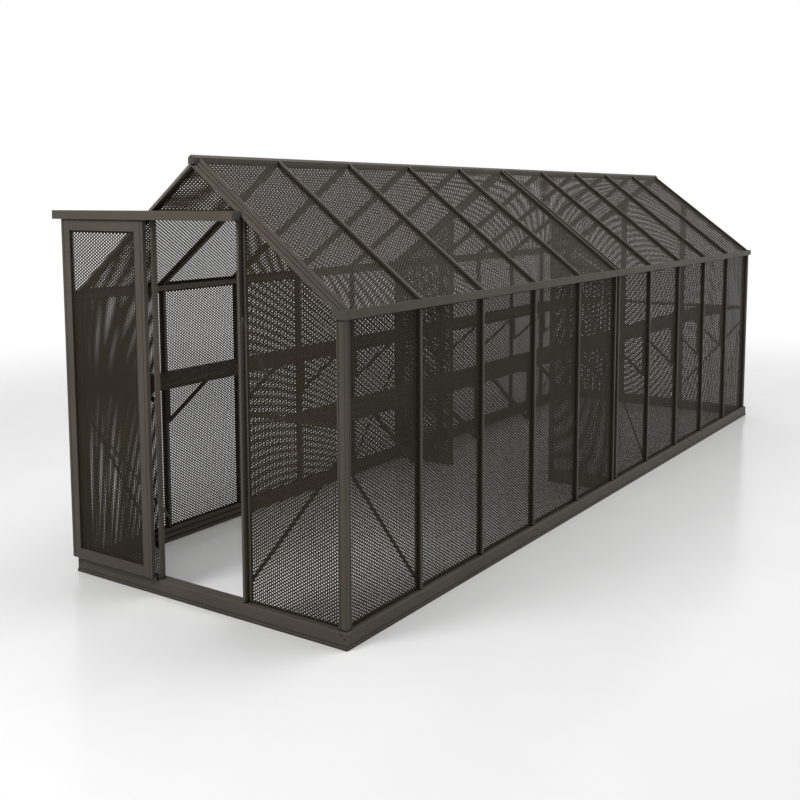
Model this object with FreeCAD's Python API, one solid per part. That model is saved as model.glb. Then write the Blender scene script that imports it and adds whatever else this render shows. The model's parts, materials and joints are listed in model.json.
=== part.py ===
import FreeCAD, Part
import math
import os

from FreeCAD import Vector

# Walk-in shade house: a bolted bar frame clad in perforated sheet, with a gable
# roof, two long shelves, a mid partition and one sliding door on the front gable.
# Millimetres. X runs across the gables, Y from the front gable to the rear one,
# Z up. The origin is on the ground, at the middle of the four anchor holes.

# Base frame, a folded channel on the ground
base_width = 1868.0
base_length = 6260.0
base_height = 83.0
base_depth = 66.0
base_wall = 3.0
base_foot = 44.0
base_bevel = 8.0
base_lip_height = 18.0
base_lip_depth = 3.0
splice_length = 160.0
splice_thickness = 3.0

# Anchor plates in the four corners of the base
plate_thickness = 4.0
anchor_hole_radius = 6.5
anchor_clearance = 10.0
anchor_edge = 12.0

# Screws through the base corners
screw_head_radius = 4.0
screw_head_height = 2.0
screw_head_chamfer = 0.7
screw_socket_radius = 1.8
screw_socket_depth = 1.2
upper_screw_inset = 36.0
upper_screw_height = 68.0
lower_screw_inset = 15.0
lower_screw_height = 52.0

# Upright frame
frame_setback = 16.0
eave_height = 1516.0
post_size = 44.0
post_chamfer = 4.0
tube_wall = 2.5
groove_inset = 9.0
groove_width = 3.0
groove_depth = 2.0

# Bars that hold the sheets, in the walls and in the roof
module_bays = 5
bay_end = 26.0
bar_depth = 38.0
bar_cap_width = 18.0
bar_cap_thickness = 4.0
bar_web_width = 12.0
mid_cap_width = 78.0
mid_web_width = 72.0
mid_seam_width = 42.0
mid_seam_depth = 17.0

# Perforated sheets, each with a plain grid of openings
sheet_setback = 18.0
gable_sheet_setback = 28.0
sheet_thickness = 2.0
sheet_margin = 30.0
opening_pitch = 156.0
opening_bridge = 74.0

# Gutters along both eaves
gutter_width = 72.0
gutter_height = 44.0
gutter_back = 31.0
gutter_wall = 3.0
gutter_lip = 6.0
gutter_gap = 12.0
gutter_end_inset = 8.0
joiner_length = 100.0
joiner_thickness = 2.0
end_cap_thickness = 2.0
spout_radius = 14.0
spout_bore_radius = 11.0
spout_length = 51.0
spout_inset = 26.0
spout_rise = 17.5

# Roof
ridge_height = 2262.0
eave_rise = 35.0
ridge_width = 36.0
ridge_depth = 45.0
ridge_plate_thickness = 2.0
verge_width = 46.0
verge_depth = 44.0
verge_lip = 4.0
verge_ledge = 4.0
verge_groove_inset = 20.0

# Gables
jamb_offset = 301.0
jamb_width = 34.0
jamb_fin = 12.0
stud_offset = 300.0
stud_width = 32.0
header_height = 45.0
gable_rail_height = 25.0

# Diagonal braces
brace_width = 20.0
brace_thickness = 3.0
brace_low = 130.0
brace_high = 860.0
gable_brace_low = 185.0
gable_brace_high = 890.0

# Shelves
shelf_height = 1037.0
shelf_depth = 336.0
shelf_deck = 2.0
shelf_lip = 26.0
shelf_clearance = 1.0
bracket_thickness = 12.0
bracket_arm = 20.0
bracket_foot = 730.0

# Mid partition
partition_offset = 425.0
partition_stile = 30.0
partition_sill_rise = 4.0

# Door track
track_proud = 40.0
track_height = 46.0
track_wall = 3.0
track_slot = 14.0
track_overhang = 51.0
track_cap = 3.0

# Sliding door
door_overlap = 24.0
door_parked_edge = -9.0
door_thickness = 25.0
door_top_gap = 1.0
door_bottom_gap = 9.0
stile_width = 64.0
top_rail_height = 58.0
bottom_rail_height = 57.0
stile_groove_inset = 18.0
stile_groove_width = 2.5
stile_groove_depth = 1.5

# Hangers, rollers and the floor guide of the door
hanger_inset = 110.0
hanger_width = 60.0
hanger_thickness = 4.0
hanger_tab = 30.0
hanger_rise = 10.0
hanger_chamfer = 8.0
hanger_clearance = 0.1
roller_radius = 12.0
roller_width = 8.0
roller_inner = 8.0
roller_hub_radius = 6.5
axle_radius = 4.0
axle_head_radius = 6.5
axle_head = 2.0
axle_fit = 0.02
roller_fit = 0.05
running_gap = 0.3
stop_length = 14.0
stop_width = 20.0
stop_drop = 28.0
stop_gap = 1.0
guide_width = 12.0
guide_plate = 3.0
guide_flange_height = 30.0
guide_fin = 5.0
guide_fin_gap = 1.0
guide_fin_reach = 10.0
guide_groove_depth = 14.0

# Small clearance where two pieces pass without touching
pass_clearance = 0.5

# Places worked out from the driving sizes
half_width = base_width / 2
half_length = base_length / 2
frame_x = half_width - frame_setback
frame_y = half_length - frame_setback
bar_inner_x = frame_x - bar_depth
post_inner_x = frame_x - post_size
post_inner_y = frame_y - post_size
anchor_inset = base_depth + anchor_clearance

bay_count = 2 * module_bays
bay_pitch = (base_length - 2 * bay_end) / bay_count
bay_lines = [(i - module_bays) * bay_pitch for i in range(bay_count + 1)]
bar_lines = [y for i, y in enumerate(bay_lines) if i not in (0, module_bays, bay_count)]

ridge_half = ridge_width / 2
gutter_floor = eave_height + gutter_wall
gutter_inner_x = half_width - gutter_width
gutter_end_y = half_length - gutter_end_inset
roof_tail_x = half_width - gutter_wall - gutter_gap
roof_slope = (ridge_height - eave_height - eave_rise) / half_width
roof_cosine = 1 / math.hypot(1, roof_slope)

jamb_inner_x = jamb_offset - jamb_width / 2
jamb_outer_x = jamb_offset + jamb_width / 2
stud_inner_x = stud_offset - stud_width / 2
stud_outer_x = stud_offset + stud_width / 2

shelf_back_x = post_inner_x - shelf_clearance
shelf_front_x = shelf_back_x - shelf_depth
shelf_under = shelf_height - shelf_deck
mid_bracket_offset = (bracket_thickness + sheet_thickness) / 2 + pass_clearance
partition_sill = base_height + partition_sill_rise


def roof_z(x, depth):
    """Height, at x, of the plane that lies depth below the outer face of the roof bars."""
    return ridge_height - abs(x) * roof_slope - depth / roof_cosine


ridge_bottom = ridge_height - ridge_depth
header_top = roof_z(jamb_inner_x, verge_depth)
track_bottom = header_top - header_height
track_top = track_bottom + track_height
track_front_y = -half_length - track_proud
track_back_y = -frame_y
track_y = (track_front_y + track_back_y) / 2

door_width = 2 * jamb_offset + door_overlap
door_right = door_parked_edge - jamb_offset
door_left = door_right - door_width
door_travel = door_width / 2 - door_right
door_bottom = base_height + door_bottom_gap
door_top = track_bottom - door_top_gap
door_front_y = track_y - door_thickness / 2
door_back_y = track_y + door_thickness / 2
track_left = door_left - track_overhang
track_right = door_width / 2
axle_z = track_bottom + track_wall + running_gap + roller_radius
hanger_places = (door_left + hanger_inset, door_right - hanger_inset)


# Basic forms

def prism(points, sweep):
    """Solid swept from a closed outline."""
    return Part.Face(Part.makePolygon(points + points[:1])).extrude(sweep)


def prism_x(outline, x0, x1):
    """Outline of (y, z) points swept from x0 to x1."""
    return prism([Vector(x0, y, z) for y, z in outline], Vector(x1 - x0, 0, 0))


def prism_y(outline, y0, y1):
    """Outline of (x, z) points swept from y0 to y1."""
    return prism([Vector(x, y0, z) for x, z in outline], Vector(0, y1 - y0, 0))


def prism_z(outline, z0, z1):
    """Outline of (x, y) points swept from z0 to z1."""
    return prism([Vector(x, y, z0) for x, y in outline], Vector(0, 0, z1 - z0))


def block(x0, x1, y0, y1, z0, z1):
    """Box between two corners."""
    return Part.makeBox(x1 - x0, y1 - y0, z1 - z0, Vector(x0, y0, z0))


def rod(radius, x, y0, y1, z):
    """Cylinder along Y."""
    return Part.makeCylinder(radius, y1 - y0, Vector(x, y0, z), Vector(0, 1, 0))


def flip_x(shape):
    """The same piece on the other long side."""
    return shape.mirror(Vector(0, 0, 0), Vector(1, 0, 0))


def flip_y(shape):
    """The same piece at the other gable."""
    return shape.mirror(Vector(0, 0, 0), Vector(0, 1, 0))


def moved_y(shape, y):
    """A copy of a piece moved along the house."""
    copy = shape.copy()
    copy.translate(Vector(0, y, 0))
    return copy


def join(first, *others):
    """One solid from pieces that share faces."""
    return first.fuse(list(others)).removeSplitter().Solids[0]


def cut(shape, *tools):
    """A solid with other solids taken out of it."""
    return shape.cut(list(tools)).Solids[0]


def opening_edges(start, end):
    """Both edges of each opening along one side of a sheet, at about the opening pitch."""
    room = end - start - 2 * sheet_margin + opening_bridge
    count = max(1, round(room / opening_pitch))
    pitch = room / count
    firsts = [start + sheet_margin + i * pitch for i in range(count)]
    return [(first, first + pitch - opening_bridge) for first in firsts]


def openings(u0, u1, v0, v1):
    """Outlines of a plain grid of openings in a rectangle of a sheet."""
    outlines = []
    for left, right in opening_edges(u0, u1):
        for low, high in opening_edges(v0, v1):
            outlines.append([(left, low), (right, low), (right, high), (left, high)])
    return outlines


def pierced(outline, holes, place, sweep):
    """Sheet swept from an outline with holes, where place gives the point for each (u, v)."""
    wires = [Part.makePolygon([place(u, v) for u, v in loop + loop[:1]]) for loop in [outline] + holes]
    return Part.makeFace(wires, "Part::FaceMakerBullseye").extrude(sweep)


def pierced_y(outline, holes, y):
    """Upright sheet across the house, with (x, z) outlines and its front face at y."""
    return pierced(outline, holes, lambda x, z: Vector(x, y, z), Vector(0, sheet_thickness, 0))


def save(node, *solids):
    """One file for each named sub-part."""
    shape = solids[0] if len(solids) == 1 else Part.makeCompound(list(solids))
    shape.exportStep(f"parts/{node}.step")


# Base frame

def base_outline(outer, inward):
    """Channel section from its outer edge: foot lip, face, bevelled ledge and two flanges."""
    face = base_lip_depth
    inner = face + base_wall
    bevel_inner = base_bevel + base_wall * (math.sqrt(2) - 1)
    section = [
        (0, 0),
        (0, base_lip_height),
        (face, base_lip_height),
        (face, base_height - base_bevel),
        (face + base_bevel, base_height),
        (base_depth, base_height),
        (base_depth, base_height - base_wall),
        (face + bevel_inner, base_height - base_wall),
        (inner, base_height - bevel_inner),
        (inner, base_wall),
        (base_foot, base_wall),
        (base_foot, 0),
    ]
    return [(outer + inward * u, z) for u, z in section]


def base_end():
    """Front rail, mitred at both corners."""
    rail = prism_x(base_outline(-half_length, 1), -half_width, half_width)
    plan = [
        (-half_width, -half_length),
        (half_width, -half_length),
        (half_width - base_depth, base_depth - half_length),
        (base_depth - half_width, base_depth - half_length),
    ]
    return rail.common(prism_z(plan, 0, base_height)).Solids[0]


def base_side():
    """Front half of the right rail, mitred at the corner and square at the splice."""
    rail = prism_y(base_outline(half_width, -1), -half_length, 0)
    plan = [
        (half_width, -half_length),
        (half_width, 0),
        (half_width - base_depth, 0),
        (half_width - base_depth, base_depth - half_length),
    ]
    return rail.common(prism_z(plan, 0, base_height)).Solids[0]


def base_splice():
    """Flat bar behind the web that joins the two halves of the right rail."""
    outer = half_width - base_lip_depth - base_wall
    top = base_height - base_bevel - base_wall
    reach = splice_length / 2
    return block(outer - splice_thickness, outer, -reach, reach, base_wall, top)


def corner_plate():
    """Plate on the bottom flanges of the front right corner, with its anchor hole inside the flanges."""
    outer = base_lip_depth + base_wall
    slant = 2 * anchor_inset + math.sqrt(2) * (anchor_hole_radius + anchor_edge)
    inner = slant - base_foot
    plan = [(outer, outer), (inner, outer), (inner, base_foot), (base_foot, inner), (outer, inner)]
    top = base_wall + plate_thickness
    plate = prism_z([(half_width - a, b - half_length) for a, b in plan], base_wall, top)
    hole_at = Vector(half_width - anchor_inset, anchor_inset - half_length, 0)
    return cut(plate, Part.makeCylinder(anchor_hole_radius, top, hole_at))


def base_screw(inset, height):
    """Round head with a socket, on the front face near the right corner."""
    face = base_lip_depth - half_length
    mouth = face - screw_head_height
    x = half_width - inset
    head = rod(screw_head_radius, x, mouth, face, height)
    rim = [edge for edge in head.Edges if edge.Closed and edge.CenterOfMass.y < (mouth + face) / 2]
    head = head.makeChamfer(screw_head_chamfer, rim)
    return cut(head, rod(screw_socket_radius, x, mouth, mouth + screw_socket_depth, height))


def all_corners(piece):
    """A front right corner piece at all four corners."""
    return [piece, flip_x(piece), flip_y(piece), flip_y(flip_x(piece))]


def build_base():
    end = base_end()
    side = base_side()
    splice = base_splice()
    save("base_front_rail", end)
    save("base_rear_rail", flip_y(end))
    save("base_right_rails", side, flip_y(side))
    save("base_left_rails", flip_x(side), flip_y(flip_x(side)))
    save("base_splices", splice, flip_x(splice))
    save("base_corner_plates", *all_corners(corner_plate()))
    upper = base_screw(upper_screw_inset, upper_screw_height)
    lower = base_screw(lower_screw_inset, lower_screw_height)
    save("base_screws", *all_corners(upper), *all_corners(lower))


# Wall posts and bars

def corner_post():
    """Front right post with a chamfered corner and a groove in each outer face."""
    near = post_size - groove_inset - groove_width
    far = post_size - groove_inset
    outline = [
        (post_chamfer, 0),
        (near, 0),
        (near, groove_depth),
        (far, groove_depth),
        (far, 0),
        (post_size, 0),
        (post_size, post_size),
        (0, post_size),
        (0, far),
        (groove_depth, far),
        (groove_depth, near),
        (0, near),
        (0, post_chamfer),
    ]
    post = prism_z([(frame_x - a, b - frame_y) for a, b in outline], base_height, eave_height)
    skin = groove_depth + tube_wall
    across = (post_inner_x + tube_wall, frame_x - skin)
    along = (skin - frame_y, -post_inner_y - tube_wall)
    return cut(post, block(*across, *along, base_height, eave_height))


def tee_outline(cap_half, web_half):
    """Half section of a bar as (depth, offset): a cap outside and a web behind it."""
    return [
        (0, cap_half),
        (bar_cap_thickness, cap_half),
        (bar_cap_thickness, web_half),
        (bar_depth, web_half),
    ]


def bar_section(cap_width, web_width, seam_width=0, seam_depth=0):
    """Whole section of a bar, with a seam down its cap where two modules meet."""
    half = tee_outline(cap_width / 2, web_width / 2)
    seam = []
    if seam_width:
        seam = [(0, seam_width / 2), (seam_depth, seam_width / 2)]
    right = seam[::-1] + half
    left = [(depth, -offset) for depth, offset in reversed(right)]
    return right + left


def wall_bar(section):
    """Upright bar in the right wall, at the middle of the house."""
    return prism_z([(frame_x - depth, offset) for depth, offset in section], base_height, eave_height)


def build_wall_bars():
    plain = wall_bar(bar_section(bar_cap_width, bar_web_width))
    middle = wall_bar(bar_section(mid_cap_width, mid_web_width, mid_seam_width, mid_seam_depth))
    right = [moved_y(plain, y) for y in bar_lines]
    save("mullions_right", *right)
    save("mullions_left", *[flip_x(bar) for bar in right])
    save("mid_post_right", middle)
    save("mid_post_left", flip_x(middle))
    post = corner_post()
    save("corner_post_front_right", post)
    save("corner_post_front_left", flip_x(post))
    save("corner_post_rear_right", flip_y(post))
    save("corner_post_rear_left", flip_y(flip_x(post)))


# Gutters

def gutter_half():
    """Front half of the right gutter: a lipped face, a floor and a low back."""
    inner = gutter_width - gutter_wall
    section = [
        (0, 0),
        (0, gutter_height),
        (gutter_lip, gutter_height),
        (gutter_lip, gutter_height - gutter_wall),
        (gutter_wall, gutter_height - gutter_wall),
        (gutter_wall, gutter_wall),
        (inner, gutter_wall),
        (inner, gutter_back),
        (gutter_width, gutter_back),
        (gutter_width, 0),
    ]
    return prism_y([(half_width - u, eave_height + z) for u, z in section], -gutter_end_y, 0)


def gutter_joiner():
    """Strip inside the face of the right gutter, across the joint of its halves."""
    outer = half_width - gutter_wall
    top = eave_height + gutter_height - gutter_wall
    reach = joiner_length / 2
    return block(outer - joiner_thickness, outer, -reach, reach, gutter_floor, top)


def gutter_cap():
    """Plate over the front end of the right gutter."""
    top = eave_height + gutter_height
    end = -gutter_end_y
    return block(gutter_inner_x, half_width, end - end_cap_thickness, end, eave_height, top)


def gutter_spout():
    """Short pipe on the rear end plate of the right gutter."""
    start = gutter_end_y + end_cap_thickness
    x = half_width - spout_inset
    z = eave_height + spout_rise
    pipe = rod(spout_radius, x, start, start + spout_length, z)
    return cut(pipe, rod(spout_bore_radius, x, start, start + spout_length, z))


def build_gutters():
    half = gutter_half()
    save("gutter_right", half, flip_y(half))
    save("gutter_left", flip_x(half), flip_y(flip_x(half)))
    joiner = gutter_joiner()
    save("gutter_joiners", joiner, flip_x(joiner))
    front = gutter_cap()
    x = half_width - spout_inset
    z = eave_height + spout_rise
    bore = rod(spout_bore_radius, x, gutter_end_y, gutter_end_y + end_cap_thickness, z)
    rear = cut(flip_y(front), bore)
    save("gutter_end_caps", front, flip_x(front), rear, flip_x(rear))
    spout = gutter_spout()
    save("gutter_spouts", spout, flip_x(spout))


# Roof

def slope_bar(section, start_x):
    """Section of (depth, y) points swept down the right slope, from start_x to the gutter floor."""
    points = [Vector(start_x, y, roof_z(start_x, depth)) for depth, y in section]
    run = roof_tail_x - start_x
    return above_gutter(prism(points, Vector(run, 0, -run * roof_slope)))


def above_gutter(shape):
    """The part of a roof piece above the gutter floor, on which it rests, clear of the gutter's back."""
    along = (-half_length, half_length)
    space = block(0, half_width, *along, gutter_floor, ridge_height)
    across = (gutter_inner_x - pass_clearance, gutter_inner_x + gutter_wall + pass_clearance)
    back = block(*across, *along, eave_height, eave_height + gutter_back + pass_clearance)
    return cut(shape.common(space), back)


def verge_section():
    """Section of a verge: a lip, a slanted face with two grooves, a narrow ledge and a flat underside."""
    drop = verge_depth - verge_lip
    reach = verge_width - verge_ledge
    length = math.hypot(drop, reach)

    def on_face(along, deep):
        depth = drop - along * drop / length + deep * reach / length
        return (depth, along * reach / length + deep * drop / length)

    face = [(0, 0)]
    for start in (verge_groove_inset, length - verge_groove_inset):
        end = start + groove_width
        face += [(start, 0), (start, groove_depth), (end, groove_depth), (end, 0)]
    face.append((length, 0))
    slanted = [on_face(along, deep) for along, deep in face]
    return slanted + [(0, verge_width), (verge_depth, verge_width), (verge_depth, 0)]


def verge():
    """Edge bar of the right slope at the front gable, notched for the ridge and mitred below it."""
    bar = slope_bar([(depth, y - frame_y) for depth, y in verge_section()], 0)
    seat = block(0, ridge_half, -frame_y, verge_width - frame_y, ridge_bottom, ridge_height)
    return cut(bar, seat)


def ridge_outline(half, bottom, depth):
    """House-shaped section whose top lies depth below the roof planes."""
    top = roof_z(half, depth)
    return [(-half, bottom), (half, bottom), (half, top), (0, roof_z(0, depth)), (-half, top)]


def ridge():
    """Front half of the ridge tube."""
    body = prism_y(ridge_outline(ridge_half, ridge_bottom, 0), -frame_y, 0)
    bore = ridge_outline(ridge_half - tube_wall, ridge_bottom + tube_wall, tube_wall)
    return cut(body, prism_y(bore, -frame_y, 0))


def build_roof():
    front_ridge = ridge()
    save("ridge_bars", front_ridge, flip_y(front_ridge))
    plate_outline = ridge_outline(ridge_half, ridge_bottom, 0)
    plate = prism_y(plate_outline, -frame_y - ridge_plate_thickness, -frame_y)
    save("ridge_end_plates", plate, flip_y(plate))
    edge = verge()
    save("verges_front", edge, flip_x(edge))
    save("verges_rear", flip_y(edge), flip_y(flip_x(edge)))
    plain = slope_bar(bar_section(bar_cap_width, bar_web_width), ridge_half)
    right = [moved_y(plain, y) for y in bar_lines]
    save("rafters_right", *right)
    save("rafters_left", *[flip_x(bar) for bar in right])
    middle_section = bar_section(mid_cap_width, mid_web_width, mid_seam_width, mid_seam_depth)
    middle = slope_bar(middle_section, ridge_half)
    save("mid_rafters", middle, flip_x(middle))


# Gables

def under_verges(shape):
    """The part of a gable piece below the undersides of the verges."""
    eave = roof_z(half_width, verge_depth)
    apex = roof_z(0, verge_depth)
    outline = [(-half_width, 0), (half_width, 0), (half_width, eave), (0, apex), (-half_width, eave)]
    return shape.common(prism_y(outline, -half_length, half_length)).Solids[0]


def clear_of_gutter(shape):
    """A right side sheet with room for the gutter cut from its upper corner."""
    inner = gutter_inner_x - pass_clearance
    space = block(inner, half_width, -half_length, half_length, eave_height, ridge_height)
    return cut(shape, space)


def upright(x0, x1, depth):
    """Front tube between two places across, from the base to the verges."""
    body = block(x0, x1, -frame_y, depth - frame_y, base_height, ridge_height)
    along = (tube_wall - frame_y, depth - frame_y - tube_wall)
    bore = block(x0 + tube_wall, x1 - tube_wall, *along, base_height, ridge_height)
    return under_verges(cut(body, bore))


def jamb():
    """Right door jamb: a tube in front of the sheet, with a fin behind it along the edge of the sheet."""
    along = (gable_sheet_setback - frame_y, bar_depth - frame_y)
    fin = block(jamb_outer_x - jamb_fin, jamb_outer_x, *along, base_height, ridge_height)
    return join(upright(jamb_inner_x, jamb_outer_x, gable_sheet_setback), under_verges(fin))


def gable_sheet(x0, x1, bottom, holes):
    """Front gable sheet between two places across, from a height up to the verges."""
    outline = [(x0, bottom), (x1, bottom), (x1, ridge_height), (x0, ridge_height)]
    return under_verges(pierced_y(outline, holes, gable_sheet_setback - frame_y))


def tall_gable_sheet(x0, x1):
    """Front gable sheet that stands on the base, with openings up to the eaves."""
    return gable_sheet(x0, x1, base_height, openings(x0, x1, base_height, eave_height))


def gable_rail(x0, x1):
    """Rail behind the front gable sheet, level with the undersides of the shelves."""
    front = gable_sheet_setback + sheet_thickness - frame_y
    back = bar_depth - frame_y
    return block(x0, x1, front, back, shelf_under - gable_rail_height, shelf_under)


def gable_brace(x0):
    """Flat bar from the foot of a front upright to the right corner post."""
    rise = (gable_brace_high - gable_brace_low) / (post_inner_x - x0)
    half = brace_width / 2 * math.hypot(1, rise)
    outline = [
        (x0, gable_brace_low - half),
        (post_inner_x, gable_brace_high - half),
        (post_inner_x, gable_brace_high + half),
        (x0, gable_brace_low + half),
    ]
    back = bar_depth - frame_y
    return prism_y(outline, back, back + brace_thickness)


def build_gables():
    right_jamb = jamb()
    save("door_jamb_right", right_jamb)
    save("door_jamb_left", flip_x(right_jamb))
    back = bar_depth - frame_y
    save("door_header", block(-jamb_inner_x, jamb_inner_x, -frame_y, back, track_bottom, header_top))
    stud = flip_y(upright(stud_inner_x, stud_outer_x, bar_depth))
    save("rear_studs", stud, flip_x(stud))

    side = clear_of_gutter(tall_gable_sheet(jamb_outer_x, post_inner_x))
    over_door = gable_sheet(-jamb_inner_x, jamb_inner_x, header_top, [])
    save("front_gable_sheets", side, flip_x(side), over_door)
    rear_side = flip_y(clear_of_gutter(tall_gable_sheet(stud_outer_x, post_inner_x)))
    rear_mid = flip_y(tall_gable_sheet(-stud_inner_x, stud_inner_x))
    save("rear_gable_sheets", rear_side, flip_x(rear_side), rear_mid)

    front_rail = gable_rail(jamb_outer_x, post_inner_x)
    save("front_gable_rails", front_rail, flip_x(front_rail))
    rear_rail = flip_y(gable_rail(stud_outer_x, post_inner_x))
    rear_mid_rail = flip_y(gable_rail(-stud_inner_x, stud_inner_x))
    save("rear_gable_rails", rear_rail, flip_x(rear_rail), rear_mid_rail)

    front_brace = gable_brace(jamb_outer_x - jamb_fin)
    rear_brace = flip_y(gable_brace(stud_inner_x))
    save("gable_braces", front_brace, flip_x(front_brace), rear_brace, flip_x(rear_brace))


# Sheets and braces of the long walls and the roof

def bay_edges(end_y):
    """Both edges of each bay's sheet, between the webs of its bars."""
    web = {0: 0, module_bays: mid_web_width / 2, bay_count: 0}
    lines = [-end_y] + bay_lines[1:-1] + [end_y]
    edges = []
    for i in range(bay_count):
        start = lines[i] + web.get(i, bar_web_width / 2)
        end = lines[i + 1] - web.get(i + 1, bar_web_width / 2)
        edges.append((start, end))
    return edges


def wall_brace(start, start_z, end, end_z):
    """Flat bar on the inner edges of the right wall's bars."""
    half = brace_width / 2 * math.hypot(1, (end_z - start_z) / (end - start))
    outline = [(start, start_z - half), (end, end_z - half), (end, end_z + half), (start, start_z + half)]
    return prism_x(outline, bar_inner_x - brace_thickness, bar_inner_x)


def wall_sheet(y0, y1):
    """Sheet of one bay of the right wall."""
    outline = [(y0, base_height), (y1, base_height), (y1, eave_height), (y0, eave_height)]
    inner = frame_x - sheet_setback - sheet_thickness
    holes = openings(y0, y1, base_height, eave_height)
    return pierced(outline, holes, lambda y, z: Vector(inner, y, z), Vector(sheet_thickness, 0, 0))


def roof_sheet(y0, y1):
    """Sheet of one bay of the right slope."""
    outline = [(y0, ridge_half), (y1, ridge_half), (y1, roof_tail_x), (y0, roof_tail_x)]
    depth = sheet_setback + sheet_thickness
    holes = openings(y0, y1, ridge_half, roof_tail_x)
    rise = Vector(0, 0, sheet_thickness / roof_cosine)
    return above_gutter(pierced(outline, holes, lambda y, x: Vector(x, y, roof_z(x, depth)), rise))


def build_sheets():
    walls = [wall_sheet(y0, y1) for y0, y1 in bay_edges(post_inner_y)]
    save("wall_sheets_right", *walls)
    save("wall_sheets_left", *[flip_x(sheet) for sheet in walls])
    roofs = [roof_sheet(y0, y1) for y0, y1 in bay_edges(frame_y - verge_width)]
    save("roof_sheets_right", *roofs)
    save("roof_sheets_left", *[flip_x(sheet) for sheet in roofs])


def build_wall_braces():
    first = bay_lines[1] + bar_web_width / 2
    last = bay_lines[module_bays - 1] - bar_web_width / 2
    middle = -mid_bracket_offset - bracket_thickness / 2 - pass_clearance
    corner = wall_brace(-post_inner_y, brace_high, first, brace_low)
    inner = wall_brace(last, brace_low, middle, brace_high)
    right = [corner, inner, flip_y(inner), flip_y(corner)]
    save("wall_braces", *right, *[flip_x(brace) for brace in right])


# Shelves

def shelf():
    """Front shelf on the right wall: a deck with a lip folded down along its front."""
    gable = -frame_y + gable_sheet_setback + sheet_thickness + shelf_clearance
    lip_start = -frame_y + bar_depth + shelf_clearance
    end = -sheet_thickness / 2 - shelf_clearance
    deck = block(shelf_front_x, shelf_back_x, gable, end, shelf_under, shelf_height)
    lip_inner = shelf_front_x + shelf_deck
    lip = block(shelf_front_x, lip_inner, lip_start, end, shelf_height - shelf_lip, shelf_under)
    return join(deck, lip)


def shelf_bracket():
    """Triangular bracket from a bar of the right wall to the shelf's front lip."""
    tip = shelf_front_x + shelf_deck
    foot = bar_inner_x - bracket_arm
    arm_under = shelf_under - bracket_arm
    outline = [
        (bar_inner_x, shelf_under),
        (tip, shelf_under),
        (tip, arm_under),
        (foot, bracket_foot),
        (bar_inner_x, bracket_foot),
    ]
    fall = (arm_under - bracket_foot) / (foot - tip)
    strut_rise = bracket_arm * math.hypot(1, fall)
    window = [
        (foot, arm_under),
        (foot, bracket_foot + strut_rise),
        (tip + strut_rise / fall, arm_under),
    ]
    half = bracket_thickness / 2
    return cut(prism_y(outline, -half, half), prism_y(window, -half, half))


def build_shelves():
    tray = shelf()
    save("shelves_right", tray, flip_y(tray))
    save("shelves_left", flip_x(tray), flip_y(flip_x(tray)))
    bracket = shelf_bracket()
    places = bar_lines + [-mid_bracket_offset, mid_bracket_offset]
    right = [moved_y(bracket, y) for y in places]
    save("shelf_brackets_right", *right)
    save("shelf_brackets_left", *[flip_x(piece) for piece in right])


# Mid partition

def build_partition():
    inner = partition_offset - partition_stile / 2
    outer = partition_offset + partition_stile / 2
    half = partition_stile / 2
    stile_outline = [
        (inner, 0),
        (outer, 0),
        (outer, roof_z(outer, bar_depth)),
        (inner, roof_z(inner, bar_depth)),
    ]
    side = half - tube_wall
    bore = block(inner + tube_wall, outer - tube_wall, -side, side, 0, ridge_height)
    stile = cut(prism_y(stile_outline, -half, half), bore)
    save("partition_stiles", stile, flip_x(stile))
    sill = block(outer, half_width - base_depth, -half, half, 0, partition_sill)
    save("partition_sills", sill, flip_x(sill))
    sheet_outline = [
        (outer, partition_sill),
        (bar_inner_x, partition_sill),
        (bar_inner_x, roof_z(bar_inner_x, bar_depth)),
        (outer, roof_z(outer, bar_depth)),
    ]
    holes = openings(outer, bar_inner_x, partition_sill, eave_height)
    sheet = clear_of_gutter(pierced_y(sheet_outline, holes, -sheet_thickness / 2))
    save("partition_sheets", sheet, flip_x(sheet))


# Door track

def build_track():
    slot = track_slot / 2
    inner_front = track_front_y + track_wall
    inner_back = track_back_y - track_wall
    lip_top = track_bottom + track_wall
    roof = track_top - track_wall
    outline = [
        (track_front_y, track_bottom),
        (track_front_y, track_top),
        (track_back_y, track_top),
        (track_back_y, track_bottom),
        (track_y + slot, track_bottom),
        (track_y + slot, lip_top),
        (inner_back, lip_top),
        (inner_back, roof),
        (inner_front, roof),
        (inner_front, lip_top),
        (track_y - slot, lip_top),
        (track_y - slot, track_bottom),
    ]
    save("door_track", prism_x(outline, track_left, track_right))
    span = (track_front_y, track_back_y, track_bottom, track_top)
    left_cap = block(track_left - track_cap, track_left, *span)
    right_cap = block(track_right, track_right + track_cap, *span)
    save("track_end_caps", left_cap, right_cap)

    left_face = hanger_places[0] - hanger_width / 2 - stop_gap
    right_face = hanger_places[1] + door_travel + hanger_width / 2 + stop_gap
    sides = (track_y - stop_width / 2, track_y + stop_width / 2, roof - stop_drop, roof)
    left_stop = block(left_face - stop_length, left_face, *sides)
    right_stop = block(right_face, right_face + stop_length, *sides)
    save("track_stops", left_stop, right_stop)


# Sliding door, parked open at the left

def guide_groove():
    """Groove along the whole underside of the door, which runs over the floor guide."""
    half = guide_fin / 2 + guide_fin_gap
    top = door_bottom + guide_groove_depth
    return block(door_left, door_right, track_y - half, track_y + half, door_bottom, top)


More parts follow.
